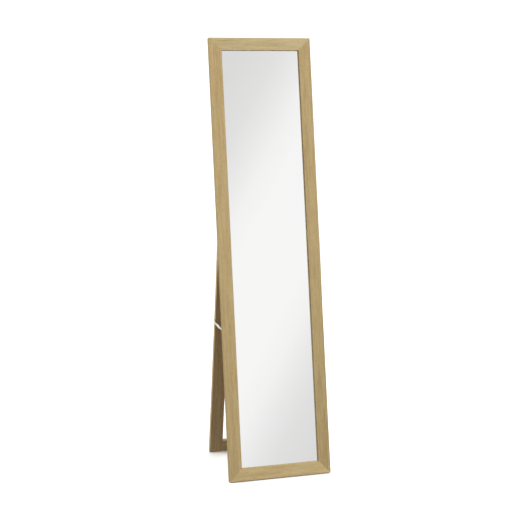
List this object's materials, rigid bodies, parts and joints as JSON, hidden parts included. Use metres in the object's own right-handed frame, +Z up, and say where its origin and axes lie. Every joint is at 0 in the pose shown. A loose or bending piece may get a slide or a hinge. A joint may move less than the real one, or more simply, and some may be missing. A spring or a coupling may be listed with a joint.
{
  "type": "floor mirror",
  "caption": "Full-length rectangular floor mirror in a flat oak frame with mitred corners, leaning on a hinged easel stand that folds flat against its back and is stopped by white straps.",
  "frame": {"origin": "Middle of the object's bounding box in plan, on the floor.", "axes": "+X is the mirror's right as a viewer in front of it sees it, +Y points back from the mirror to its stand, and +Z is up. The frame leans back and the stand is open."},
  "size_m": [0.38, 0.3966, 1.5635],
  "materials": {
    "oak_frame": "matt oak-effect foil on the frame, grain along each member",
    "oak_stand": "matt oak-effect foil on the stand and batten",
    "beech_dowel": "plain turned beech, hidden in the joints",
    "silvered_glass": "clear silvered glass with a faint green tint",
    "hardboard": "plain brown hardboard",
    "zinc_steel": "zinc-plated steel, satin",
    "brass": "brass-plated screw, satin",
    "woven_strap": "white plain-woven tape"
  },
  "bodies": {
    "mirror_frame": {"top_rail": "oak_frame", "bottom_rail": "oak_frame", "left_stile": "oak_frame", "right_stile": "oak_frame", "corner_v_nails": "zinc_steel", "mirror_glass": "silvered_glass", "backing_board": "hardboard", "retaining_points": "zinc_steel", "hinge_batten": "oak_stand", "batten_screws": "zinc_steel", "left_hinge_fixed_leaf": "zinc_steel", "right_hinge_fixed_leaf": "zinc_steel", "left_hinge_pin": "zinc_steel", "right_hinge_pin": "zinc_steel", "batten_hinge_screws": "zinc_steel", "strap_frame_ends": "woven_strap", "frame_strap_screws": "zinc_steel"},
    "stand": {"left_leg": "oak_stand", "right_leg": "oak_stand", "stand_top_rail": "oak_stand", "stand_bottom_rail": "oak_stand", "stand_dowels": "beech_dowel", "left_hinge_moving_leaf": "zinc_steel", "right_hinge_moving_leaf": "zinc_steel", "stand_hinge_screws": "zinc_steel", "strap_leg_ends": "woven_strap", "leg_strap_screws": "brass"},
    "left_strap_front_part": {"left_strap_front": "woven_strap"},
    "left_strap_rear_part": {"left_strap_rear": "woven_strap"},
    "right_strap_front_part": {"right_strap_front": "woven_strap"},
    "right_strap_rear_part": {"right_strap_rear": "woven_strap"}
  },
  "joints": [
    {"name": "stand_fold", "type": "hinge", "parent": "mirror_frame", "child": "stand", "pos_m": [0, 0.02448, 1.10221], "axis": [-1, 0, 0], "range_deg": [0, 18.3]},
    {"name": "left_strap_front_fold", "type": "hinge", "parent": "mirror_frame", "child": "left_strap_front_part", "pos_m": [-0.165, -0.09131, 0.51617], "axis": [-1, 0, 0], "range_deg": [0, 97.81]},
    {"name": "left_strap_rear_fold", "type": "hinge", "parent": "stand", "child": "left_strap_rear_part", "pos_m": [-0.1604, 0.10586, 0.52075], "axis": [1, 0, 0], "range_deg": [0, 95.26]},
    {"name": "right_strap_front_fold", "type": "hinge", "parent": "mirror_frame", "child": "right_strap_front_part", "pos_m": [0.165, -0.09131, 0.51617], "axis": [-1, 0, 0], "range_deg": [0, 97.81]},
    {"name": "right_strap_rear_fold", "type": "hinge", "parent": "stand", "child": "right_strap_rear_part", "pos_m": [0.1604, 0.10586, 0.52075], "axis": [1, 0, 0], "range_deg": [0, 95.26]}
  ],
  "couplings": [
    {"joint": "left_strap_front_fold", "follows": "stand_fold", "ratio": 5.3447},
    {"joint": "left_strap_rear_fold", "follows": "stand_fold", "ratio": 5.2051},
    {"joint": "right_strap_front_fold", "follows": "stand_fold", "ratio": 5.3447},
    {"joint": "right_strap_rear_fold", "follows": "stand_fold", "ratio": 5.2051}
  ]
}
